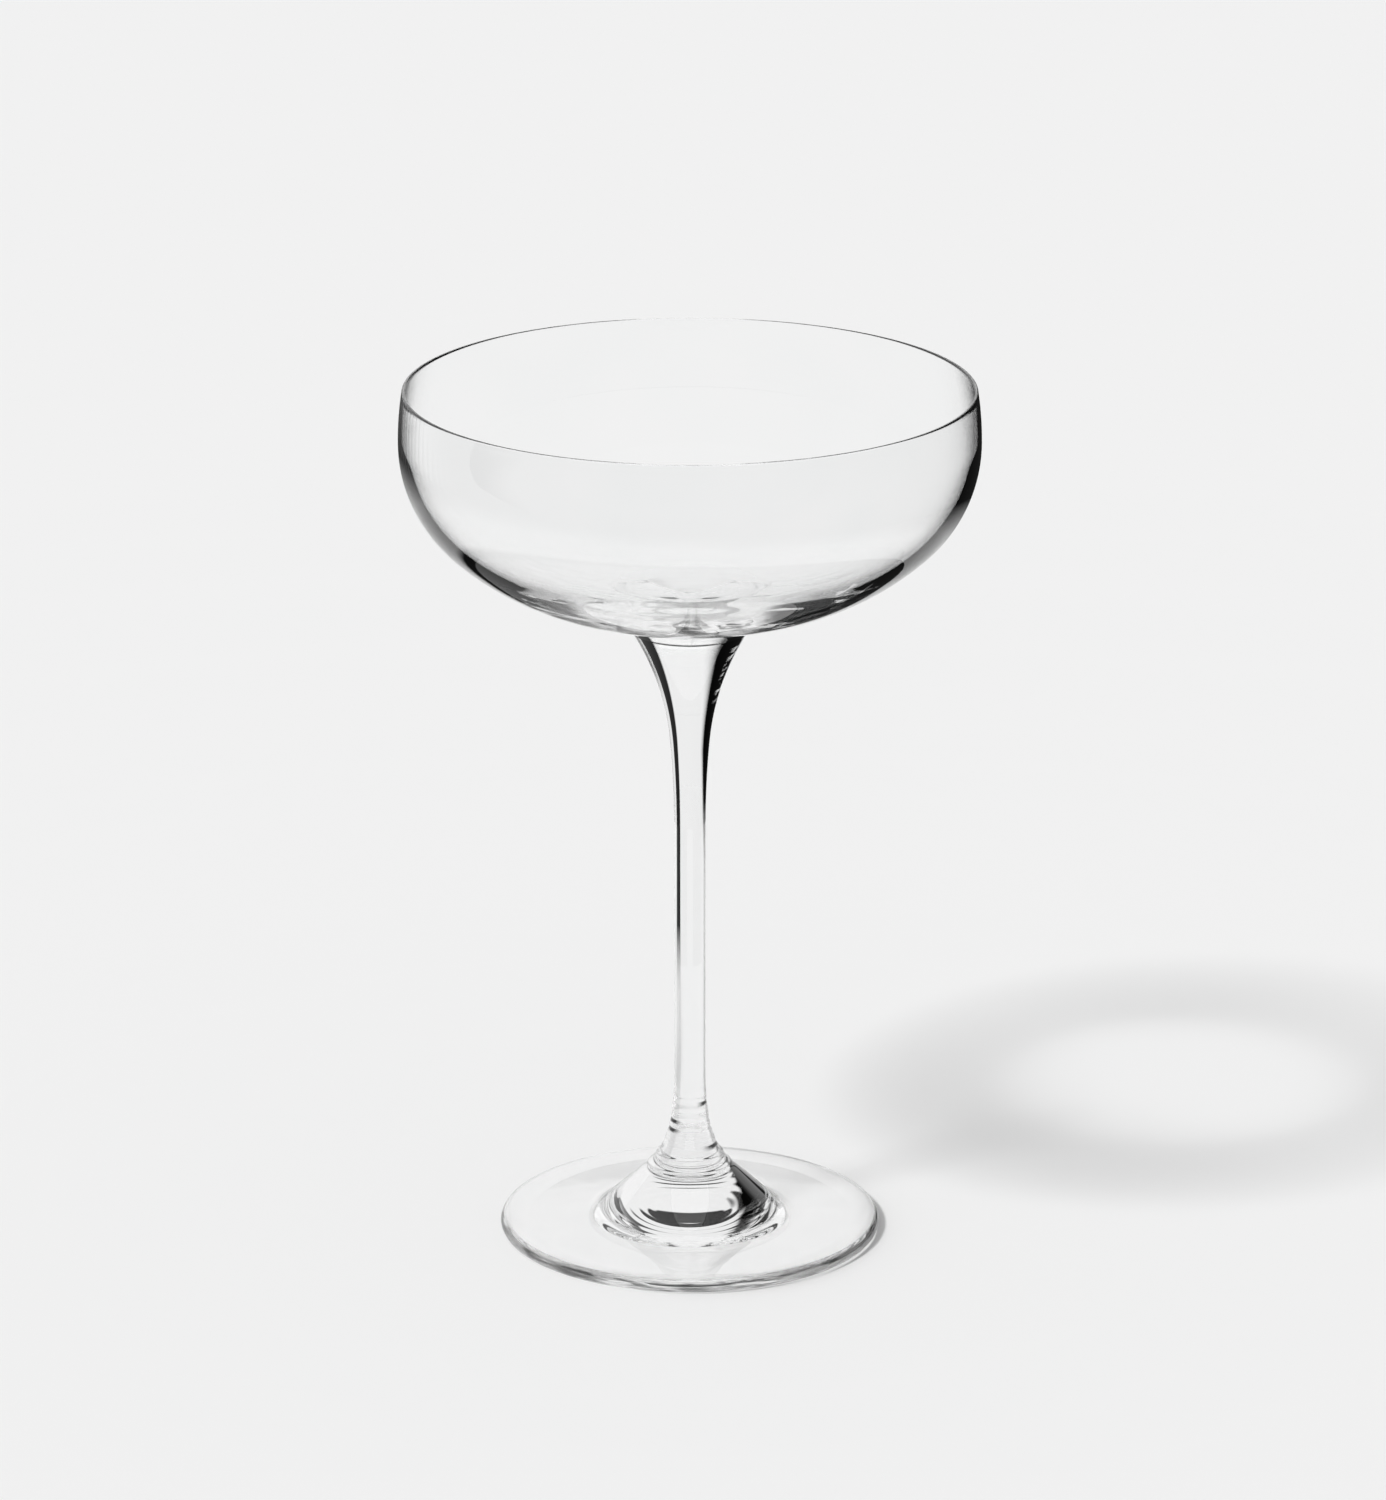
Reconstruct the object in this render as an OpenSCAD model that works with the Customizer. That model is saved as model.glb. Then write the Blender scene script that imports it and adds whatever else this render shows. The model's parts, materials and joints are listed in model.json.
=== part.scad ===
// Champagne coupe in clear glass: a shallow bowl, a drawn stem and a round foot, welded together.
// Millimetres, +Z up, standing on z = 0 with its axis on Z.

/* [Overall] */
// Height from the table to the top of the rim
height = 162.2; // [150:0.2:176]

/* [Bowl] */
// Outer radius of the bowl where it is widest
bowl_r = 53; // [49:0.5:57]
// Drop from the rim to the widest place
rim_drop = 9.8; // [8:0.2:12]
// Radius of the arc that leans the rim inward
lean_r = 60; // [45:5:120]
// Radius of the shoulder arc below the widest place
shoulder_r = 25.6; // [23:0.2:28]
// Turn of the shoulder arc
shoulder_a = 47.6; // [44:0.4:51.2]
// Radius of the arc that carries on under the shoulder
under_r = 50.4; // [44:0.4:56]
// Turn at which the floor arc takes over
under_a = 71.3; // [68.3:0.5:74.3]
// Glass thickness at the widest place
wall = 0.9; // [0.7:0.05:1.2]
// Extra glass in the middle of the floor
floor_lift = 1.3; // [0.6:0.1:2.2]

/* [Stem] */
// Radius of the stem at its waist
stem_r = 2.9; // [2.6:0.1:3.6]
// Height below the bowl at which the stem starts to widen
draw_drop = 39.6; // [35:0.2:45]
// Radius of the long arc that widens the stem
draw_r = 180; // [140:5:240]
// Turn of that long arc
draw_a = 5.1; // [4:0.1:6.4]
// Radius of the flare up to the bowl
flare_r = 50; // [40:1:60]
// Radius of the fillet where that flare meets the bowl
blend_r = 9; // [6:0.5:11]
// Height at which the stem starts to widen towards the foot
root_z = 30.5; // [28:0.5:36]
// Radius of the arc that widens it there
root_r = 60; // [50:2:76]
// Turn of that arc
root_a = 9; // [7:0.5:10.5]
// Height of the weld between stem and foot
weld_z = 14; // [13:0.25:16]

/* [Foot] */
// Outer radius of the foot
foot_r = 35.5; // [32:0.5:40]
// Radius of the rounded edge of the foot
edge_r = 1.25; // [1:0.05:1.6]
// Rise of the top from the edge to the cone
top_rise = 0.5; // [0.2:0.1:1]
// Slope of the cone in the middle of the foot
cone_a = 43; // [38:1:48]
// Radius of the neck arc from the cone up to the stem
neck_r = 17; // [14:0.5:19]
// Radius of the fillet between cone and top
fillet_r = 4; // [2:0.5:6]
// Width of the flat ring that the foot rests on
rest_w = 4; // [2.5:0.5:7]
// Rise of the hollow underneath in the middle
hollow = 0.6; // [0.3:0.1:1]

/* [Hidden] */
$fn = 180;
glass = [0.9, 0.94, 0.95, 0.35];
// Farthest that a straight step may lie from the arc it follows
sag = 0.01;

// Points along an arc, from angle a0 to angle a1. The first point is left out: the line before ends there.
function steps(r, turn) = max(2, ceil(abs(turn) / (2 * acos(1 - sag / r))));
function at(c, r, a) = c + r * [cos(a), sin(a)];
function arc(c, r, a0, a1) = [
    for (i = [1 : steps(r, a1 - a0)])
        at(c, r, a0 + (a1 - a0) * i / steps(r, a1 - a0))
];
function bearing(c, p) = atan2(p.y - c.y, p.x - c.x);

// Where two circles cross, on the left of the way from c0 to c1.
function along(d, r0, r1) = (pow(d, 2) + pow(r0, 2) - pow(r1, 2)) / (2 * d);
function left_of(v) = [-v.y, v.x];
function crossing(c0, r0, c1, r1) =
    let (d = norm(c1 - c0), u = (c1 - c0) / d, k = along(d, r0, r1))
    c0 + k * u + sqrt(pow(r0, 2) - pow(k, 2)) * left_of(u);

// Bowl arcs: each centre lies on the line through the joint with the arc before it.
wide_z = height - rim_drop;
lean_c = [bowl_r - lean_r, wide_z];
shoulder_c = [bowl_r - shoulder_r, wide_z];
under_c = shoulder_c + (under_r - shoulder_r) * [-cos(shoulder_a), sin(shoulder_a)];
under_end = at(under_c, under_r, -under_a);
floor_r = under_end.x / cos(under_a);
floor_c = [0, under_end.y + floor_r * sin(under_a)];
floor_z = floor_c.y - floor_r;

// Rim: a round edge as wide as the wall is there.
rim_h = wall / 2;
rim_z = height - rim_h;
lift = [0, floor_lift];
rim_a = asin((rim_z - wide_z) / lean_r);
rim_in_a = asin((rim_z - wide_z - floor_lift) / (lean_r - wall));
rim_out = at(lean_c, lean_r, rim_a).x;
rim_in = at(lean_c, lean_r - wall, rim_in_a).x;
rim_w = (rim_out - rim_in) / 2;
rim_c = [(rim_out + rim_in) / 2, rim_z];

// Stem arcs, from the waist up to the bowl and down to the foot.
draw_z = floor_z - draw_drop;
draw_c = [stem_r + draw_r, draw_z];
flare_c = at(draw_c, draw_r - flare_r, 180 - draw_a);
blend_c = crossing(flare_c, flare_r - blend_r, floor_c, floor_r + blend_r);
blend_a = bearing(flare_c, blend_c);
join_a = bearing(floor_c, blend_c);
root_c = [stem_r + root_r, root_z];
neck_c = at(root_c, root_r - neck_r, 180 + root_a);
neck_start = 180 + root_a;
neck_end = 270 - cone_a;
weld_a = 180 + asin((neck_c.y - weld_z) / neck_r);

// Foot: the cone runs from the neck arc to the top, with a fillet between them.
cone_top = at(neck_c, neck_r, neck_end);
edge_c = [foot_r - edge_r, edge_r];
top_a = atan2(top_rise, edge_c.x - cone_top.x);
edge_top = at(edge_c, edge_r, 90 - top_a);
cone_drop = cone_top.y - edge_top.y - (edge_top.x - cone_top.x) * tan(top_a);
corner = cone_top + cone_drop / (tan(cone_a) - tan(top_a)) * [1, -tan(cone_a)];
fillet_len = fillet_r * tan((cone_a - top_a) / 2);
fillet_out = at(corner, fillet_len, -top_a);
fillet_c = at(fillet_out, fillet_r, 90 - top_a);
hollow_w = edge_c.x - rest_w;
hollow_r = (pow(hollow_w, 2) + pow(hollow, 2)) / (2 * hollow);
hollow_c = [0, hollow - hollow_r];

// The bowl's wall: up the outside, over the rim and down the inside.
bowl_line = concat(
    [floor_c - [0, floor_r]],
    arc(floor_c, floor_r, -90, join_a),
    arc(floor_c, floor_r, join_a, -under_a),
    arc(under_c, under_r, -under_a, -shoulder_a),
    arc(shoulder_c, shoulder_r, -shoulder_a, 0),
    arc(lean_c, lean_r, 0, rim_a),
    [for (p = arc([0, 0], rim_h, 0, 180)) rim_c + [p.x * rim_w / rim_h, p.y]],
    [for (p = arc(lean_c, lean_r - wall, rim_in_a, 0)) p + lift],
    [for (p = arc(shoulder_c, shoulder_r - wall, 0, -shoulder_a)) p + lift],
    [for (p = arc(under_c, under_r - wall, -shoulder_a, -under_a)) p + lift],
    [for (p = arc(floor_c, floor_r - wall, -under_a, -90)) p + lift]
);

// The stem: up from the weld, then back to the axis along the underside of the bowl.
stem_line = concat(
    [[0, weld_z], at(neck_c, neck_r, weld_a)],
    arc(neck_c, neck_r, weld_a, neck_start),
    arc(root_c, root_r, neck_start, 180),
    [[stem_r, draw_z]],
    arc(draw_c, draw_r, 180, 180 - draw_a),
    arc(flare_c, flare_r, 180 - draw_a, blend_a),
    arc(blend_c, blend_r, blend_a, bearing(blend_c, floor_c)),
    arc(floor_c, floor_r, join_a, -90)
);

// The foot: out along the underside, round the edge and up the cone to the weld.
foot_line = concat(
    [[0, hollow]],
    arc(hollow_c, hollow_r, 90, bearing(hollow_c, [hollow_w, 0])),
    [[edge_c.x, 0]],
    arc(edge_c, edge_r, -90, 90 - top_a),
    [fillet_out],
    arc(fillet_c, fillet_r, 270 - top_a, neck_end),
    [cone_top],
    arc(neck_c, neck_r, neck_end, weld_a),
    [[0, weld_z]]
);

module bowl() {
    color(glass)
        rotate_extrude()
            polygon(bowl_line);
}

module stem() {
    color(glass)
        rotate_extrude()
            polygon(stem_line);
}

module foot() {
    color(glass)
        rotate_extrude()
            polygon(foot_line);
}

bowl();
stem();
foot();
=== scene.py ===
"""Clear glass champagne coupe: bowl, stem and foot, turned as one glass on a pale studio floor."""
import json
from math import asin, atan2, ceil, cos, degrees, exp, hypot, pi, radians, sin, sqrt, tan

import bpy
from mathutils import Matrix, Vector

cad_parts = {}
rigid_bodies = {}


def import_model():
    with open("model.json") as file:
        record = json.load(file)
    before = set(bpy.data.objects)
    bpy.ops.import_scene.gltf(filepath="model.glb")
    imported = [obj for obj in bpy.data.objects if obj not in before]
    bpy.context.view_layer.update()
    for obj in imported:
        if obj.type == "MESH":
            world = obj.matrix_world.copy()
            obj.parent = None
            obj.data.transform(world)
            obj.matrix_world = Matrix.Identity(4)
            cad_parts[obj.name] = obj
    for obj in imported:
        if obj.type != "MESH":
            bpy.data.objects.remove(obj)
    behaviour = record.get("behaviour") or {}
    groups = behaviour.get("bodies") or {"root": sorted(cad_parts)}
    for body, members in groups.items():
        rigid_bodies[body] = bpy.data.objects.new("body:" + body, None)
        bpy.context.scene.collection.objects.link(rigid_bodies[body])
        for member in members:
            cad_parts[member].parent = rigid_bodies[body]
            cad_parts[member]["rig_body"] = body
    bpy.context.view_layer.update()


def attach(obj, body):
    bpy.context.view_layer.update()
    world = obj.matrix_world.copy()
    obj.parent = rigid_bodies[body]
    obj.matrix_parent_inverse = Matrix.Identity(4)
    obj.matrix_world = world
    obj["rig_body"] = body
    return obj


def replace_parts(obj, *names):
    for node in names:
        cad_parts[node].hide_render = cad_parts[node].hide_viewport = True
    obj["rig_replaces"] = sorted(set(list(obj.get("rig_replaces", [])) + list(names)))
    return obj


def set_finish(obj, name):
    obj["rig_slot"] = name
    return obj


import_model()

MM = 0.001

# Outline values in millimetres and degrees, the same as the solids have.
HEIGHT = 162.2
BOWL_R = 53.0
RIM_DROP = 9.8
LEAN_R = 60.0
SHOULDER_R, SHOULDER_A = 25.6, 47.6
UNDER_R, UNDER_A = 50.4, 71.3
WALL = 0.9
FLOOR_LIFT = 1.3
STEM_R = 2.9
DRAW_DROP, DRAW_R, DRAW_A = 39.6, 180.0, 5.1
FLARE_R, BLEND_R = 50.0, 9.0
ROOT_Z, ROOT_R, ROOT_A = 30.5, 60.0, 9.0
WELD_Z = 14.0
FOOT_R = 35.5
EDGE_R = 1.25
TOP_RISE = 0.5
CONE_A = 43.0
NECK_R = 17.0
FILLET_R = 4.0
REST_W = 4.0
HOLLOW = 0.6

# Steps along the outlines, in millimetres: finer where there are rings to draw.
# The step over the rim is in degrees.
RING_STEP, SEAM_STEP, SOFT_STEP = 0.12, 0.15, 0.25
CONE_STEP, DRAW_STEP, ROD_STEP = 0.5, 0.8, 1.5
RIM_STEP = 12


# Outlines: points are (radius, height).

def at(centre, radius, angle):
    """The point of a circle at an angle in degrees."""
    return (centre[0] + radius * cos(radians(angle)), centre[1] + radius * sin(radians(angle)))


def bearing(centre, point):
    """The angle, in degrees, at which a point is seen from a centre."""
    return degrees(atan2(point[1] - centre[1], point[0] - centre[0]))


def arc(centre, radius, start, end, step=1.0):
    """Points along an arc, no further apart than step. The first point is left out."""
    count = max(3, ceil(radius * radians(abs(end - start)) / step))
    return [at(centre, radius, start + (end - start) * i / count) for i in range(1, count + 1)]


def line(start, end, step=1.0):
    """Points along a straight run, no further apart than step. The first point is left out."""
    count = max(1, ceil(hypot(end[0] - start[0], end[1] - start[1]) / step))
    return [tuple(a + (b - a) * i / count for a, b in zip(start, end)) for i in range(1, count + 1)]


def crossing(c0, r0, c1, r1):
    """Where two circles cross, on the left of the way from c0 to c1."""
    d = hypot(c1[0] - c0[0], c1[1] - c0[1])
    u = ((c1[0] - c0[0]) / d, (c1[1] - c0[1]) / d)
    k = (d * d + r0 * r0 - r1 * r1) / (2 * d)
    h = sqrt(r0 * r0 - k * k)
    return (c0[0] + k * u[0] - h * u[1], c0[1] + k * u[1] + h * u[0])


wide_z = HEIGHT - RIM_DROP
lean_c = (BOWL_R - LEAN_R, wide_z)
shoulder_c = (BOWL_R - SHOULDER_R, wide_z)
under_c = at(shoulder_c, UNDER_R - SHOULDER_R, 180 - SHOULDER_A)
under_end = at(under_c, UNDER_R, -UNDER_A)
floor_r = under_end[0] / cos(radians(UNDER_A))
floor_c = (0.0, under_end[1] + floor_r * sin(radians(UNDER_A)))
floor_z = floor_c[1] - floor_r

rim_h = WALL / 2
rim_z = HEIGHT - rim_h
rim_a = degrees(asin((rim_z - wide_z) / LEAN_R))
rim_in_a = degrees(asin((rim_z - wide_z - FLOOR_LIFT) / (LEAN_R - WALL)))
rim_out = at(lean_c, LEAN_R, rim_a)[0]
rim_in = at(lean_c, LEAN_R - WALL, rim_in_a)[0]
rim_c = ((rim_out + rim_in) / 2, rim_z)
rim_w = (rim_out - rim_in) / 2

draw_z = floor_z - DRAW_DROP
draw_c = (STEM_R + DRAW_R, draw_z)
flare_c = at(draw_c, DRAW_R - FLARE_R, 180 - DRAW_A)
blend_c = crossing(flare_c, FLARE_R - BLEND_R, floor_c, floor_r + BLEND_R)
blend_a = bearing(flare_c, blend_c)
join_a = bearing(floor_c, blend_c)
join = at(floor_c, floor_r, join_a)
root_c = (STEM_R + ROOT_R, ROOT_Z)
neck_c = at(root_c, ROOT_R - NECK_R, 180 + ROOT_A)
neck_start = 180 + ROOT_A
neck_end = 270 - CONE_A
weld_a = 180 + degrees(asin((neck_c[1] - WELD_Z) / NECK_R))

cone_top = at(neck_c, NECK_R, neck_end)
edge_c = (FOOT_R - EDGE_R, EDGE_R)
top_a = degrees(atan2(TOP_RISE, edge_c[0] - cone_top[0]))
edge_top = at(edge_c, EDGE_R, 90 - top_a)
cone_t, top_t = tan(radians(CONE_A)), tan(radians(top_a))
run = (cone_top[1] - edge_top[1] - (edge_top[0] - cone_top[0]) * top_t) / (cone_t - top_t)
corner = (cone_top[0] + run, cone_top[1] - run * cone_t)
fillet_len = FILLET_R * tan(radians((CONE_A - top_a) / 2))
fillet_out = at(corner, fillet_len, -top_a)
fillet_in = at(corner, fillet_len, 180 - CONE_A)
fillet_c = at(fillet_out, FILLET_R, 90 - top_a)
hollow_w = edge_c[0] - REST_W
hollow_r = (hollow_w ** 2 + HOLLOW ** 2) / (2 * HOLLOW)
hollow_c = (0.0, HOLLOW - hollow_r)

# Marks of hand work, all under a millimetre.
# Rings and grooves that the hot glass keeps where stem and foot were joined: height, rise and half width.
JOINT_RINGS = [
    (12.7, 0.20, 0.50), (14.7, 0.18, 0.50), (16.5, -0.10, 0.50),
    (19.6, -0.14, 0.40), (21.3, -0.10, 0.35), (24.8, -0.10, 0.40)]
# Fine seam round the top of the stem, where it was joined to the bowl: its height, depth and half width.
SEAM_Z, SEAM_DEPTH, SEAM_HALF = 116.7, 0.05, 0.25
# Fine rings that the tool left under the foot: middle and half width of their band, spacing and depth.
TOOL_MIDDLE, TOOL_HALF, TOOL_PITCH, TOOL_DEPTH = 9.5, 5.5, 1.5, 0.013
# Bulge in the middle of the underside: radius and height.
BULGE_R, BULGE_H = 8.0, 0.55


def lifted(points):
    """The outline raised as the inside of the bowl is, which leaves more glass in its floor."""
    return [(r, z + FLOOR_LIFT) for r, z in points]


def mark(z, middle, rise, half):
    """How far a ring stands out at a height."""
    return rise * exp(-((z - middle) / half) ** 2)


def ringed(points):
    """The outline with the small rings and grooves of the joint."""
    return [(r + sum(mark(z, *ring) for ring in JOINT_RINGS), z) for r, z in points]


def seamed(points):
    """The outline with the seam drawn in."""
    return [(r - mark(z, SEAM_Z, SEAM_DEPTH, SEAM_HALF), z) for r, z in points]


def bulge(r):
    """How far the bulge hangs down at a radius."""
    return BULGE_H * max(0.0, 1 - (r / BULGE_R) ** 2) ** 2


def tool_ring(r):
    """How far the tool's rings stand up at a radius."""
    return TOOL_DEPTH * max(0.0, 1 - ((r - TOOL_MIDDLE) / TOOL_HALF) ** 2) * cos(2 * pi * r / TOOL_PITCH)


def tooled(points):
    """The underside with its bulge in the middle and its fine rings."""
    return [(r, z - bulge(r) + tool_ring(r)) for r, z in points]


def rim_point(angle):
    """A point of the rounded rim."""
    return (rim_c[0] + rim_w * cos(radians(angle)), rim_z + rim_h * sin(radians(angle)))


weld_edge = ringed([at(neck_c, NECK_R, weld_a)])[0]
bowl_line = (
    [(0.0, floor_z)]
    + arc(floor_c, floor_r, -90, join_a)
    + arc(floor_c, floor_r, join_a, -UNDER_A)
    + arc(under_c, UNDER_R, -UNDER_A, -SHOULDER_A)
    + arc(shoulder_c, SHOULDER_R, -SHOULDER_A, 0)
    + arc(lean_c, LEAN_R, 0, rim_a)
    + [rim_point(angle) for angle in range(RIM_STEP, 181, RIM_STEP)]
    + lifted(arc(lean_c, LEAN_R - WALL, rim_in_a, 0))
    + lifted(arc(shoulder_c, SHOULDER_R - WALL, 0, -SHOULDER_A))
    + lifted(arc(under_c, UNDER_R - WALL, -SHOULDER_A, -UNDER_A))
    + lifted(arc(floor_c, floor_r - WALL, -UNDER_A, -90))
)
stem_line = (
    [(0.0, WELD_Z)]
    + line((0.0, WELD_Z), weld_edge)
    + ringed(arc(neck_c, NECK_R, weld_a, neck_start, RING_STEP))
    + ringed(arc(root_c, ROOT_R, neck_start, 180, SOFT_STEP))
    + line((STEM_R, ROOT_Z), (STEM_R, draw_z), ROD_STEP)
    + arc(draw_c, DRAW_R, 180, 180 - DRAW_A, DRAW_STEP)
    + seamed(arc(flare_c, FLARE_R, 180 - DRAW_A, blend_a, SEAM_STEP))
    + seamed(arc(blend_c, BLEND_R, blend_a, bearing(blend_c, floor_c), SEAM_STEP))
    + arc(floor_c, floor_r, join_a, -90)
)
foot_line = (
    [(0.0, HOLLOW - BULGE_H)]
    + tooled(arc(hollow_c, hollow_r, 90, bearing(hollow_c, (hollow_w, 0.0)), SOFT_STEP))
    + line((hollow_w, 0.0), (edge_c[0], 0.0))
    + arc(edge_c, EDGE_R, -90, 90 - top_a, RING_STEP)
    + line(edge_top, fillet_out)
    + arc(fillet_c, FILLET_R, 270 - top_a, neck_end, SOFT_STEP)
    + line(fillet_in, cone_top, CONE_STEP)
    + ringed(arc(neck_c, NECK_R, neck_end, weld_a, RING_STEP))
    + line(weld_edge, (0.0, WELD_Z))
)


# Shaders

class Wire:
    """A shader socket that takes part in sums as a number does."""

    def __init__(self, tree, socket):
        self.tree, self.socket = tree, socket

    def __add__(self, other):
        return self.tree.math("ADD", self, other)

    __radd__ = __add__

    def __sub__(self, other):
        return self.tree.math("SUBTRACT", self, other)

    def __rsub__(self, other):
        return self.tree.math("SUBTRACT", other, self)

    def __mul__(self, other):
        return self.tree.math("MULTIPLY", self, other)

    __rmul__ = __mul__


class Tree:
    """A node tree to which any node is added by its kind, its settings and its sockets."""

    def __init__(self, owner):
        owner.use_nodes = True
        self.owner = owner
        self.nodes, self.links = owner.node_tree.nodes, owner.node_tree.links
        self.nodes.clear()

    def add(self, kind, settings=None, sockets=None, out=0):
        """Adds a node and gives the wire from one of its outputs, if it has any."""
        node = self.nodes.new(kind)
        for name, value in (settings or {}).items():
            if name == "stops":
                stops = node.color_ramp.elements
                stops[0].position, stops[0].color = value[0]
                stops[1].position, stops[1].color = value[-1]
                for place, colour in value[1:-1]:
                    stops.new(place).color = colour
            else:
                setattr(node, name, value)
        for name, value in (sockets or {}).items():
            if isinstance(value, Wire):
                self.links.new(value.socket, node.inputs[name])
            else:
                node.inputs[name].default_value = value
        return Wire(self, node.outputs[out]) if node.outputs else node

    def math(self, operation, *values):
        """One step of a sum."""
        return self.add("ShaderNodeMath", {"operation": operation}, dict(enumerate(values)))

    def part(self, vector, axis):
        """One of the three parts of a vector."""
        return self.add("ShaderNodeSeparateXYZ", {}, {"Vector": vector}, axis)

    def times(self, one, other):
        """Two colours multiplied."""
        settings = {"data_type": "RGBA", "blend_type": "MULTIPLY"}
        return self.add("ShaderNodeMix", settings, {0: 1.0, 6: one, 7: other}, 2)

    def ramp(self, value, stops):
        """A grey by a value: each stop is a place from 0 to 1 and the tone there."""
        stops = [(place, (tone, tone, tone, 1.0)) for place, tone in stops]
        return self.add("ShaderNodeValToRGB", {"stops": stops}, {"Fac": value})

    def smooth(self, value, low, high, start=0.0, end=1.0):
        """Goes softly from start to end while the value goes from low to high."""
        return self.add("ShaderNodeMapRange", {"interpolation_type": "SMOOTHSTEP"}, {
            "Value": value, "From Min": low, "From Max": high, "To Min": start, "To Max": end})

    def where(self, kind="Object"):
        """Where a point is on its piece, or which way the surface faces there."""
        return self.add("ShaderNodeTexCoord", out=kind)

    def facing(self):
        """0 where the surface is seen squarely, 1 where it is seen edge-on."""
        return self.add("ShaderNodeLayerWeight", {}, {"Blend": 0.5}, "Facing")

    def from_outside(self):
        """1 where a ray comes to the surface from the air, 0 where it comes from within the glass."""
        return 1 - self.add("ShaderNodeNewGeometry", out="Backfacing")

    def surface(self, shader):
        """Ends the tree with a surface and gives back the material that it belongs to."""
        self.add("ShaderNodeOutputMaterial", {}, {"Surface": shader})
        return self.owner


def new_tree(name):
    """The empty tree of a new material."""
    return Tree(bpy.data.materials.new(name))


def around_axis(tree):
    """A point's direction from the axis, as a vector one long, its distance from it and its height."""
    place = tree.where()
    flat = tree.add("ShaderNodeVectorMath", {"operation": "MULTIPLY"}, {0: place, 1: (1.0, 1.0, 0.0)})
    ring = tree.add("ShaderNodeVectorMath", {"operation": "NORMALIZE"}, {0: flat})
    radius = tree.add("ShaderNodeVectorMath", {"operation": "LENGTH"}, {0: flat}, "Value")
    return ring, radius, tree.part(place, "Z")


def streaks(tree, round_scale, out_scale, up_scale):
    """Noise drawn out round the axis, as turned glass is: each scale is in waves round, outward or up."""
    ring, radius, height = around_axis(tree)
    way = tree.add("ShaderNodeCombineXYZ", {}, {
        "X": tree.part(ring, "X") * round_scale,
        "Y": tree.part(ring, "Y") * round_scale,
        "Z": radius * out_scale + height * up_scale})
    return tree.add("ShaderNodeTexNoise", {}, {
        "Vector": way, "Scale": 1.0, "Detail": 2.0, "Roughness": 0.5, "Distortion": 0.6}, "Fac")


GLASS_IOR = 1.52
# Tones of the faint waves in all the glass.
WAVE_TONES = [(0.3, (0.985, 0.99, 0.99, 1.0)), (0.7, (1.0, 1.0, 1.0, 1.0))]


def clear_glass(name, painted_shade, stretch, scale, depth):
    """Polished clear glass with the faint waves that it was blown or drawn with, with painted shade and
    highlights in its colour.
    """
    tree = new_tree(name)
    along = tree.add("ShaderNodeMapping", {}, {"Vector": tree.where(), "Scale": stretch})
    waves = tree.add("ShaderNodeTexNoise", {}, {
        "Vector": along, "Scale": scale, "Detail": 1.0, "Roughness": 0.4}, "Fac")
    relief = tree.add("ShaderNodeBump", {}, {"Height": waves, "Distance": depth, "Strength": 1.0})
    tone = tree.add("ShaderNodeValToRGB", {"stops": WAVE_TONES}, {"Fac": waves})
    return tree.surface(tree.add("ShaderNodeBsdfPrincipled", {}, {
        "Base Color": tree.times(tone, painted_shade(tree)), "Roughness": 0.0, "IOR": GLASS_IOR,
        "Transmission Weight": 1.0, "Normal": relief}))


# Painted shade and painted highlights, put into the glass's colour: the four numbers of a span are where it
# starts and ends and the shares there.
# A span of two numbers goes from none to all.
# Heights and radii are in metres, and a side goes from -1, the left, to 1, the right.

# The rod's painted shade, by how far round it a point is: 0 is its edge, 1 its middle.
# An eye a little above the glass: the sine and cosine of the angle at which it looks down on the rod.
EYE_SINE, EYE_COSINE = 0.29, 0.955
# A little over 1, so that no root is drawn of less than nothing.
ROOT_ROOM = 1.001
LINE_MIDDLE = 0.66
LINE_HALF = (0.11, 0.145, 1.0, 0.0)
LINE_HEIGHT = (0.046, 0.060, 0.25, 1.0)
OUTER_ROUND = (0.40, 0.60, 0.96, 0.0)
OUTER_HEIGHT = (0.103, 0.111)
# How far round the rod the painted dark band on its right reaches at each height.
BAND_REACH = [(0.030, 0.50), (0.072, 0.50), (0.080, 0.58), (0.094, 0.82), (0.103, 0.86), (0.114, 0.94)]
ROD_TOP = 0.125
BAND_ROUND = (-0.10, 0.04, 1.0, 0.0)
BAND_HEIGHT = (0.066, 0.084, 0.65, 1.0)
# Painted glints: streaks near the rod's top where the painted dark band is left clear.
GLINT_WAVES = (2.5, 0.0, 800.0)
GLINT_SHARE = (0.52, 0.58)
GLINT_HEIGHT = (0.103, 0.106)
GLINT_ROUND = (0.30, 0.62, 1.0, 0.0)
RIGHT_HAND = (-0.1, 0.1)
# A thin painted dark line along the seam.
SEAM_LINE = (0.10 * MM, 0.32 * MM, 1.0, 0.0)
# Painted shade in the grooves of the joint: the height of each mark in millimetres, and the side that it is
# on.
GROOVE_SHADE_MARKS = [(16.5, 1), (19.6, -1), (21.3, -1), (24.8, 1)]
GROOVE_SHADE_HALF = (0.25 * MM, 0.6 * MM, 1.0, 0.0)
GROOVE_SHADE_SIDE = (0.35, 0.75)


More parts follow.
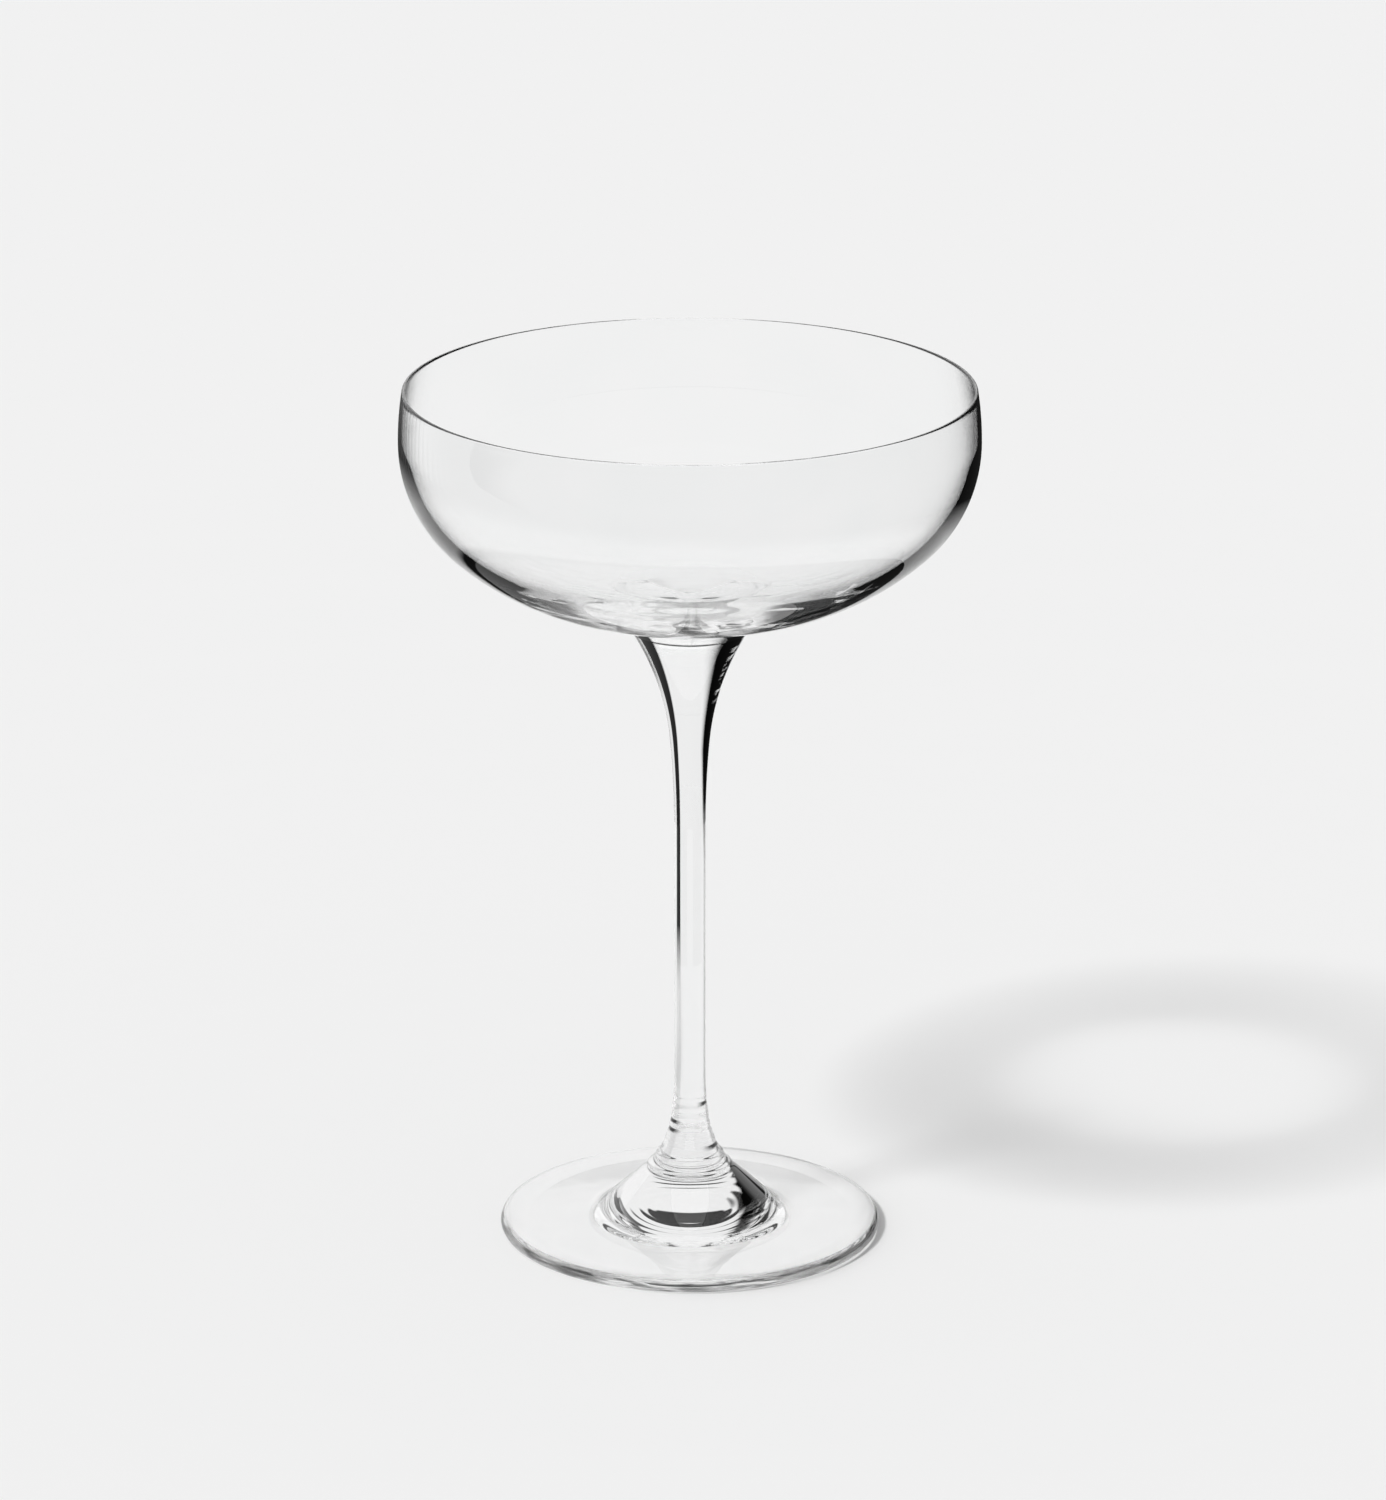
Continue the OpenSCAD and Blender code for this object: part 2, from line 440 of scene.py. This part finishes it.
def rod_painted_shade(tree):
    """Painted shade on the drawn rod: a dark line near its left edge and a dark band on its right, fading
    downward.

    Painted glints lie in the band near its top, a thin painted dark line follows the seam, and the joint's
    grooves have painted shade.
    What counts is how far round the rod the glass turns away, so the lean of its side is taken out."""
    normal = tree.where("Normal")
    side, lean = tree.part(normal, "X"), tree.part(normal, "Z")
    height = tree.part(tree.where(), "Z")
    level = tree.math("SQRT", ROOT_ROOM - lean * lean)
    square = tree.math("DIVIDE", 1 - tree.facing() - EYE_SINE * lean, EYE_COSINE * level)
    off = tree.math("ABSOLUTE", square - LINE_MIDDLE)
    line_tone = tree.smooth(off, *LINE_HALF) * tree.smooth(height, *LINE_HEIGHT)
    outer = tree.smooth(square, *OUTER_ROUND) * tree.smooth(height, *OUTER_HEIGHT)
    line_tone = tree.math("MAXIMUM", line_tone, outer)
    reach = tree.ramp(height * (1 / ROD_TOP), [(z / ROD_TOP, share) for z, share in BAND_REACH])
    band = tree.smooth(square - reach, *BAND_ROUND) * tree.smooth(height, *BAND_HEIGHT)
    glints = tree.smooth(streaks(tree, *GLINT_WAVES), *GLINT_SHARE) * tree.smooth(height, *GLINT_HEIGHT)
    band = band * (1 - glints * tree.smooth(square, *GLINT_ROUND))
    drawn = line_tone + tree.smooth(side, *RIGHT_HAND) * (band - line_tone)
    from_seam = tree.math("ABSOLUTE", height - SEAM_Z * MM)
    drawn = tree.math("MAXIMUM", drawn, tree.smooth(from_seam, *SEAM_LINE))
    groove_shade = 0.0
    for middle, hand in GROOVE_SHADE_MARKS:
        apart = tree.math("ABSOLUTE", height - middle * MM)
        groove_shade = tree.smooth(apart, *GROOVE_SHADE_HALF) * tree.smooth(side * hand, *GROOVE_SHADE_SIDE) + groove_shade
    dark = tree.from_outside() * tree.math("MAXIMUM", drawn, groove_shade)
    return tree.ramp(dark, [(0.0, 1.0), (1.0, 0.0)])


# The bowl's painted shade, by how far it is seen edge-on.
BOWL_EDGE = [(0.0, 1.0), (0.55, 1.0), (0.70, 0.92), (0.80, 0.55), (0.88, 0.2), (0.95, 0.04), (1.0, 0.0)]
EDGE_TO_RIGHT = 0.03
UNDER_LEAN = (-0.3, -0.1, 1.0, 0.0)
LOW_HEIGHT = (0.130, 0.138, 1.0, 0.0)
LOW_FACING = (0.44, 0.60)
LOW_EASE = 0.12
RIGHT_BAND = (0.10, 0.40, 0.0, 0.98)
LEFT_BAND = (-0.55, -0.20, 0.92, 0.0)
GAP_WAVES = (3.0, 420.0, 0.0)
GAP_SHARE = (0.545, 0.60)
GAP_TO_RIGHT = 0.025
EASE_HEIGHT = (0.134, 0.156, 1.0, 0.0)
EASE, EASE_TO_RIGHT = 0.14, 0.07
STREAK_SHARE = (0.25, 0.60)


def bowl_painted_shade(tree):
    """Painted shade on the bowl: dark where it is seen edge-on, less so low down, and a little more so on
    the right.

    The underside, where the glass is thick, has a painted dark band on each side with streaks left clear in
    it."""
    facing = tree.facing()
    ring, _, height = around_axis(tree)
    side = tree.part(ring, "X")
    under = tree.smooth(tree.part(tree.where("Normal"), "Z"), *UNDER_LEAN) * tree.from_outside()
    low = under * tree.smooth(height, *LOW_HEIGHT) * tree.smooth(facing, *LOW_FACING)
    sides = tree.smooth(side, *RIGHT_BAND) + tree.smooth(side, *LEFT_BAND)
    gaps = tree.smooth(streaks(tree, *GAP_WAVES) - GAP_TO_RIGHT * side, *GAP_SHARE)
    eased = tree.smooth(height, *EASE_HEIGHT) * (EASE - EASE_TO_RIGHT * side)
    edge = facing + EDGE_TO_RIGHT * side - eased - LOW_EASE * low
    streaked = sides * tree.smooth(low * (1 - gaps), *STREAK_SHARE)
    return tree.ramp(tree.math("MAXIMUM", edge, streaked), BOWL_EDGE)


# The foot's painted shade, by how far it is seen edge-on.
FOOT_EDGE = [(0.0, 1.0), (0.70, 1.0), (0.84, 0.6), (0.95, 0.15), (1.0, 0.03)]
UPRIGHT_LEAN = (0.6, 0.85, 1.0, 0.0)
EDGE_RADIUS = ((FOOT_R - 1.4) * MM, (FOOT_R - 0.9) * MM)
EDGE_WAVES = (4.0, 0.0, 1100.0)
EDGE_SHARE = (0.36, 0.62, 0.15, 0.95)
CONE_RADIUS = (0.0150, 0.0180, 1.0, 0.0)
CONE_HEIGHT = (0.0125, 0.0140, 1.0, 0.0)
CRESCENT_Z, CRESCENT_LEAN = 0.0067, 45.0
CRESCENT_WAVES, CRESCENT_WAVER = (2.0, 300.0, 0.0), 0.12
CRESCENT_SHARE = (0.24, 0.31)
CRESCENT_SIDE = (0.30, 0.60)
BRIGHT_WAVES = (1.5, 1500.0, 0.0)
BRIGHT_SHARE = (0.47, 0.55)
BRIGHT_HEIGHT = (0.0050, 0.0075, 0.9, 0.0)


def foot_painted_shade(tree):
    """Painted shade on the foot: dark where it is seen edge-on, and streaked round its thick edge.

    The cone has a painted dark crescent on its right, with fine painted highlight lines across the lower
    end of it."""
    facing = tree.facing()
    ring, radius, height = around_axis(tree)
    upright = tree.smooth(tree.part(tree.where("Normal"), "Z"), *UPRIGHT_LEAN)
    edge = tree.smooth(radius, *EDGE_RADIUS) * upright * tree.from_outside()
    streaked = 1 - edge * tree.smooth(streaks(tree, *EDGE_WAVES), *EDGE_SHARE)
    cone = tree.smooth(radius, *CONE_RADIUS) * tree.smooth(height, *CONE_HEIGHT)
    waver = CRESCENT_WAVER * (streaks(tree, *CRESCENT_WAVES) - 0.5)
    leaning = facing - CRESCENT_LEAN * (height - CRESCENT_Z) - waver
    to_right = tree.smooth(tree.part(ring, "X"), *CRESCENT_SIDE)
    crescent = tree.smooth(leaning, *CRESCENT_SHARE) * to_right * cone
    bright = tree.smooth(streaks(tree, *BRIGHT_WAVES), *BRIGHT_SHARE) * tree.smooth(height, *BRIGHT_HEIGHT)
    clear = 1 - crescent * (1 - bright) * tree.from_outside()
    return tree.times(tree.ramp(facing, FOOT_EDGE), streaked * clear)


def weld_skin(name):
    """Nothing to see: the two faces of a weld, where the glass runs on from piece to piece."""
    tree = new_tree(name)
    return tree.surface(tree.add("ShaderNodeBsdfPrincipled", {}, {"Alpha": 0.0}))


# Pieces

DOUBLES = 2e-6
SMOOTH_A = 30
# A face of a weld lies this flat, and this near to the height of the weld, in millimetres.
WELD_FLAT = 0.9
WELD_NEAR, CAP_NEAR = 0.01, 1.0


def turned(name, outline, sides, in_weld, material, skin):
    """A piece turned about the upright axis: one point is drawn along the outline, which is then spun."""
    bpy.ops.object.select_all(action="DESELECT")
    first = outline[0]
    bpy.ops.mesh.primitive_plane_add(size=MM, location=(first[0] * MM, 0.0, first[1] * MM))
    piece = bpy.context.object
    piece.name = piece.data.name = name
    bpy.ops.object.transform_apply(location=True, rotation=True, scale=True)
    bpy.ops.object.mode_set(mode="EDIT")
    bpy.ops.mesh.select_all(action="SELECT")
    bpy.ops.mesh.merge(type="CENTER")
    for before, after in zip(outline, outline[1:]):
        step = ((after[0] - before[0]) * MM, 0.0, (after[1] - before[1]) * MM)
        bpy.ops.mesh.extrude_vertices_move(TRANSFORM_OT_translate={"value": step})
    bpy.ops.mesh.select_all(action="SELECT")
    bpy.ops.mesh.spin(steps=sides, angle=radians(360), center=(0, 0, 0), axis=(0, 0, 1))
    bpy.ops.mesh.select_all(action="SELECT")
    bpy.ops.mesh.remove_doubles(threshold=DOUBLES)
    bpy.ops.mesh.normals_make_consistent(inside=False)
    bpy.ops.object.mode_set(mode="OBJECT")
    piece.data.materials.append(material)
    piece.data.materials.append(skin)
    for face in piece.data.polygons:
        face.material_index = int(in_weld(face.center / MM, face.normal))
    bpy.ops.object.shade_smooth_by_angle(angle=radians(SMOOTH_A))
    return piece


def on_bowl_weld(middle, normal):
    """The part of the bowl's underside that the stem covers."""
    return middle.z < join[1] and hypot(middle.x, middle.y) < join[0]


def on_stem_weld(middle, normal):
    """The top of the stem, under the bowl, and its lower end, on the foot."""
    on_top = middle.z > floor_z - CAP_NEAR and normal.z > WELD_FLAT
    return on_top or (middle.z < WELD_Z + WELD_NEAR and normal.z < -WELD_FLAT)


def on_foot_weld(middle, normal):
    """The top of the foot's cone."""
    return middle.z > WELD_Z - WELD_NEAR and normal.z > WELD_FLAT


def waved(piece, weight, size, strength):
    """Soft waves over part of a piece, as hand-worked glass has: weight says where, from 0 to 1."""
    group = piece.vertex_groups.new(name="waves")
    for vertex in piece.data.vertices:
        amount = weight(hypot(vertex.co.x, vertex.co.y) / MM, vertex.normal)
        if amount > 0:
            group.add([vertex.index], amount, "REPLACE")
    texture = bpy.data.textures.new(piece.name + "_waves", "CLOUDS")
    texture.noise_scale = size * MM
    texture.noise_depth = 1
    waves = piece.modifiers.new("waves", "DISPLACE")
    waves.texture = texture
    waves.texture_coords = "LOCAL"
    waves.vertex_group = group.name
    waves.mid_level = 0.5
    waves.strength = strength * MM
    bpy.ops.object.select_all(action="DESELECT")
    piece.select_set(True)
    bpy.context.view_layer.objects.active = piece
    bpy.ops.object.modifier_apply(modifier=waves.name)


# Where the glass is wavy, in millimetres from the axis: none at the first radius, all at the second.
FLOOR_UP, FLOOR_OUT, FLOOR_IN, FLOOR_LEAST = 0.2, (38.0, 28.0), (9.0, 16.0), 0.15
TOP_UP, TOP_OUT, TOP_IN = 0.8, (34.5, 32.5), (17.0, 21.0)


def share(value, none, full):
    """How far a value is on the way from none to full: 0 to 1."""
    return min(1.0, max(0.0, (value - none) / (full - none)))


def bowl_floor(radius, normal):
    """The inside of the bowl: a ring round its middle, dying away up the side."""
    if normal.z < FLOOR_UP:
        return 0.0
    return share(radius, *FLOOR_OUT) * max(FLOOR_LEAST, share(radius, *FLOOR_IN))


def foot_top(radius, normal):
    """The flat of the foot, between the cone and the edge."""
    if normal.z <= TOP_UP:
        return 0.0
    return share(radius, *TOP_IN) * share(radius, *TOP_OUT)


skin = weld_skin("weld")
# Each glass takes the painted shade and highlights of its tone function into its colour.
blown = clear_glass("blown_glass", bowl_painted_shade, stretch=(1.0, 1.0, 1.0), scale=60.0, depth=1e-5)
drawn = clear_glass("drawn_glass", rod_painted_shade, stretch=(1.0, 1.0, 0.15), scale=300.0, depth=4e-6)
pressed = clear_glass("pressed_glass", foot_painted_shade, stretch=(1.0, 1.0, 1.0), scale=80.0, depth=1e-5)
bowl = turned("coupe_bowl", bowl_line, sides=384, in_weld=on_bowl_weld, material=blown, skin=skin)
waved(bowl, bowl_floor, size=9.0, strength=0.55)
waved(bowl, bowl_floor, size=3.5, strength=0.10)
stem = turned("coupe_stem", stem_line, sides=128, in_weld=on_stem_weld, material=drawn, skin=skin)
foot = turned("coupe_foot", foot_line, sides=256, in_weld=on_foot_weld, material=pressed, skin=skin)
waved(foot, foot_top, size=9.0, strength=0.06)
for piece, node, slot in (
        (bowl, "bowl", "bowl_glass"), (stem, "stem", "stem_glass"), (foot, "foot", "foot_glass")):
    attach(piece, "root")
    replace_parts(piece, node)
    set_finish(piece, slot)


# Shadows: clear glass lets light through where it faces the lamp, and less where it is edge-on to it.

# The level way that the light goes, and where on it the far side starts and ends, in radii of the bowl.
AWAY_X, AWAY_Y = 0.78, 0.62
FAR_SIDE = (0.1, 0.9)
ONLY_SHADES = ("camera", "glossy", "transmission")
# The shade of the foot's edge stands this far inside it, in millimetres.
EDGE_INSET = 0.3
THIN_TONES = [(0.0, 1.0), (0.25, 0.99), (0.37, 0.83), (0.55, 0.64), (0.78, 0.42), (1.0, 0.05)]
THIN_FAR = 0.16
STEM_TONES = [(0.0, 1.0), (0.3, 0.97), (0.6, 0.75), (1.0, 0.3)]
FLAT_TONES = [(0.0, 1.0), (0.75, 0.98), (0.88, 0.5), (1.0, 0.05)]
# The foot's thick edge, from its left to its right.
EDGE_TONES = [(0.35, 1.0), (0.8, 0.15)]


def hide_from(thing, rays):
    """Keeps a thing from being met by rays of some kinds."""
    for kind in rays:
        setattr(thing, "visible_" + kind, False)


def dress_stage(thing, name, material, hidden=()):
    """Names a new stage thing and gives it its material."""
    thing.name = name
    bpy.ops.object.transform_apply(location=True, rotation=True, scale=True)
    thing.data.materials.append(material)
    hide_from(thing, hidden)


def stage_hoop(name, radius, foot_z, top_z, sides, material, hidden):
    """A hoop round the axis, on the stage."""
    bpy.ops.object.select_all(action="DESELECT")
    bpy.ops.mesh.primitive_cylinder_add(
        vertices=sides, radius=radius, depth=top_z - foot_z, end_fill_type="NOTHING",
        location=(0, 0, (top_z + foot_z) / 2))
    dress_stage(bpy.context.object, name, material, hidden)


def cast_shadow(piece, name, material):
    """A copy of a piece that only shades the floor. The piece itself then casts no shadow."""
    bpy.ops.object.select_all(action="DESELECT")
    piece.select_set(True)
    bpy.context.view_layer.objects.active = piece
    bpy.ops.object.duplicate()
    shade = bpy.context.object
    shade.name = name
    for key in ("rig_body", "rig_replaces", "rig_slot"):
        if key in shade:
            del shade[key]
    shade.parent = None
    shade.data.materials[0] = material
    hide_from(shade, ONLY_SHADES)
    hide_from(piece, ("shadow", "diffuse"))


def shade_glass(name, tones, far=0.0):
    """Lets light through by how squarely the glass faces it, and less of it by far away from the lamp."""
    tree = new_tree(name)
    place = tree.where()
    away = (tree.part(place, "X") * AWAY_X + tree.part(place, "Y") * AWAY_Y) * (1 / (BOWL_R * MM))
    tone = tree.ramp(tree.facing() + far * tree.smooth(away, *FAR_SIDE), tones)
    return tree.surface(tree.add("ShaderNodeBsdfTransparent", {}, {"Color": tone}))


def across_tone(tree, half_width, tones):
    """A tone by how far to the right a point is, from 0 to 1 over the whole width."""
    return tree.ramp(tree.part(tree.where(), "X") * (0.5 / half_width) + 0.5, tones)


def shade_edge(name):
    """Shade of the foot's thick edge, on the side away from the lamp."""
    tree = new_tree(name)
    tone = across_tone(tree, FOOT_R * MM, EDGE_TONES)
    return tree.surface(tree.add("ShaderNodeBsdfTransparent", {}, {"Color": tone}))


cast_shadow(bowl, "shade_bowl", shade_glass("shade_of_thin_glass", THIN_TONES, THIN_FAR))
cast_shadow(stem, "shade_stem", shade_glass("shade_of_drawn_glass", STEM_TONES))
cast_shadow(foot, "shade_foot", shade_glass("shade_of_flat_glass", FLAT_TONES))
stage_hoop("shade_foot_edge", (FOOT_R - EDGE_INSET) * MM, 0.0, 2 * EDGE_R * MM, sides=128,
           material=shade_edge("shade_of_foot_edge"), hidden=ONLY_SHADES)


# Studio

FLOOR_TONE = 0.88
FLOOR_SIZE, FLOOR_GAP = 12.0, 0.00008
# The lamp: its share of the light on the floor, where it is and how wide it is in degrees.
KEY_SHARE = 0.50
KEY_FROM = Vector((-0.64, -0.51, 1.0))
KEY_WIDTH = 10

# Sizes of the studio's cards, in metres.
CARD_SIDES = 96
ONLY_MIRRORED = ("camera", "diffuse", "transmission", "shadow")
ONLY_THROUGH = ("camera", "diffuse", "glossy", "shadow")
BAND_R, BAND_FOOT, BAND_TOP = 0.10, 0.018, 0.170
# How much felt there is on the band at each height, and how much lower it hangs towards the right.
FELT_SHARE = [(0.016, 1.0), (0.065, 1.0), (0.072, 0.0), (0.104, 0.0), (0.122, 1.0)]
FELT_TILT = 0.10
# Below this height the felt only hangs at the sides, this far from the middle.
FELT_WHOLE = (0.062, 0.064)
FELT_SIDES = (0.034, 0.040)
# Its painted sheen, a glow of its own, from squarely to edge-on: it turns a little to the left and is only
# on the back of the band.
FELT_PAINTED_SHEEN = [(0.0, 0.95), (0.085, 0.95), (0.12, 0.25), (0.15, 0.02)]
SHEEN_TURN, SHEEN_SHIFT = 0.035, 0.01
SHEEN_BACK = (-0.03, 0.03)
PALE_R, PALE_FOOT, PALE_TOP = 0.101, 0.060, 0.300
RING_IN, RING_Z, RING_RISE = 0.036, 0.066, 0.004
RING_TONES = [(0.0, 0.35), (0.45, 0.25), (0.65, 0.03)]


def painted(name, tone):
    """A plain grey paint."""
    tree = new_tree(name)
    return tree.surface(tree.add("ShaderNodeBsdfDiffuse", {}, {"Color": (tone, tone, tone, 1.0)}))


def glowing(name, strength):
    """A card with a light of its own, the same all over."""
    tree = new_tree(name)
    return tree.surface(tree.add("ShaderNodeEmission", {}, {"Strength": strength}))


def side_card(name, tones):
    """A card that glows with a tone of its own, which goes by how far to the right it is, from 0 to 1
    across the band.
    """
    tree = new_tree(name)
    tone = across_tone(tree, BAND_R, tones)
    return tree.surface(tree.add("ShaderNodeEmission", {}, {"Color": tone}))


def dark_felt(name):
    """Black felt with a painted pale sheen, a glow of its own, where it is seen squarely, and nothing where
    the band is left bare.
    """
    tree = new_tree(name)
    place = tree.where()
    across, back, height = (tree.part(place, axis) for axis in "XYZ")
    shares = [(z / BAND_TOP, amount) for z, amount in FELT_SHARE]
    full = tree.ramp((height + FELT_TILT * across) * (1 / BAND_TOP), shares)
    at_sides = tree.smooth(tree.math("ABSOLUTE", across), *FELT_SIDES)
    hung = tree.math("MAXIMUM", at_sides, tree.smooth(height, *FELT_WHOLE))
    painted_sheen = tree.ramp(tree.facing() + across * (SHEEN_TURN / BAND_R) - SHEEN_SHIFT, FELT_PAINTED_SHEEN)
    tone = tree.times(painted_sheen, tree.smooth(back, *SHEEN_BACK))
    felt = tree.add("ShaderNodeEmission", {}, {"Color": tone, "Strength": 1.0})
    bare = tree.add("ShaderNodeBsdfTransparent")
    return tree.surface(tree.add("ShaderNodeMixShader", {}, {0: full * hung, 1: bare, 2: felt}))


bpy.ops.object.select_all(action="DESELECT")
bpy.ops.mesh.primitive_plane_add(size=FLOOR_SIZE, location=(0, 0, -FLOOR_GAP))
dress_stage(bpy.context.object, "floor", painted("pale_floor", FLOOR_TONE))

# A dark band round the glass, only seen mirrored in it, so that the edges of bowl and stem draw dark.
stage_hoop("dark_band", BAND_R, BAND_FOOT, BAND_TOP, sides=CARD_SIDES,
           material=dark_felt("dark_felt"), hidden=ONLY_MIRRORED)

# A pale band round the bowl, as bright as the floor and only seen through glass: it keeps the dark off.
stage_hoop("pale_band", PALE_R, PALE_FOOT, PALE_TOP, sides=CARD_SIDES,
           material=glowing("pale_card", FLOOR_TONE), hidden=ONLY_THROUGH)

# A dark ring below the bowl, only seen mirrored in its underside.
bpy.ops.object.select_all(action="DESELECT")
bpy.ops.mesh.primitive_cone_add(
    vertices=CARD_SIDES, radius1=BAND_R, radius2=RING_IN, depth=RING_RISE, end_fill_type="NOTHING",
    location=(0, 0, RING_Z))
dress_stage(bpy.context.object, "dark_ring", side_card("ring_card", RING_TONES), ONLY_MIRRORED)

bpy.ops.object.light_add(type="SUN", rotation=KEY_FROM.to_track_quat("Z", "Y").to_euler())
key = bpy.context.object
key.name = "key"
key.data.energy = KEY_SHARE * pi / KEY_FROM.normalized().z
key.data.angle = radians(KEY_WIDTH)
hide_from(key, ("glossy", "transmission"))

# What is seen of the studio through glass: by azimuth, where 0 is behind the glass and 90 to its right,
# times by elevation. High up it is bright all round.
ROUND_TONES = [
    (-180, 1.0), (-105, 1.0), (-90, 0.02), (-32, 0.02), (-28, 0.88), (60, 0.9), (120, 1.0), (180, 1.0)]
RISE_TONES = [(0, 0.02), (14.8, 0.02), (16.6, 1.0), (90, 1.0)]
HIGH_TONES = [(0, 0.0), (46, 0.0), (54, 1.0), (90, 1.0)]
# The same for what glass mirrors: the brighter of the two counts.
MIRROR_ROUND = [(-180, 0.95), (12, 0.95), (24, 0.03), (72, 0.03), (84, 0.95), (180, 0.95)]
MIRROR_RISE = [(0, 0.03), (30, 0.03), (42, 0.95), (90, 0.95)]

world = bpy.data.worlds.new("studio")
bpy.context.scene.world = world
air = Tree(world)
from_camera, mirrored_ray, through_ray = (
    air.add("ShaderNodeLightPath", out=kind)
    for kind in ("Is Camera Ray", "Is Glossy Ray", "Is Transmission Ray"))
way = air.where("Generated")
turn = air.math("ARCTAN2", air.part(way, "X"), air.part(way, "Y"))
rise = air.math("ARCSINE", air.part(way, "Z"))


def by_turn(tones):
    """A tone by azimuth in degrees."""
    return air.ramp(turn * (1 / (2 * pi)) + 0.5, [((angle + 180) / 360, tone) for angle, tone in tones])


def by_rise(tones):
    """A tone by elevation in degrees."""
    return air.ramp(rise * (2 / pi), [(angle / 90, tone) for angle, tone in tones])


through = air.math("MAXIMUM", air.times(by_turn(ROUND_TONES), by_rise(RISE_TONES)), by_rise(HIGH_TONES))
mirrored = air.math("MAXIMUM", by_turn(MIRROR_ROUND), by_rise(MIRROR_RISE))
fill = 1 - KEY_SHARE
plain = fill + from_camera * (FLOOR_TONE - fill) + mirrored_ray * (mirrored - fill)
tone = air.add("ShaderNodeMix", {"data_type": "RGBA"}, {0: through_ray, 6: plain, 7: through}, 2)
glow = air.add("ShaderNodeBackground", {}, {"Color": tone, "Strength": 1.0})
air.add("ShaderNodeOutputWorld", {}, {"Surface": glow})

# The camera: its place, how far it looks down in degrees, its lens and sensor in millimetres, its shift.
CAMERA_PLACE, CAMERA_DIP = (0.0, -1.259, 0.495), 17.69
CAMERA_LENS, CAMERA_SENSOR, CAMERA_SHIFT = 172.3, 36.0, 0.00207
bpy.ops.object.camera_add(location=CAMERA_PLACE, rotation=(radians(90 - CAMERA_DIP), 0, 0))
camera = bpy.context.object
camera.name = "camera"
camera.data.lens = CAMERA_LENS
camera.data.sensor_width = CAMERA_SENSOR
camera.data.shift_x = CAMERA_SHIFT

scene = bpy.context.scene
scene.camera = camera
scene.view_settings.view_transform = "Standard"
scene.cycles.max_bounces = 32
scene.cycles.transmission_bounces = 32
scene.cycles.glossy_bounces = 24
scene.cycles.transparent_max_bounces = 48
scene.cycles.caustics_reflective = False
scene.cycles.caustics_refractive = False
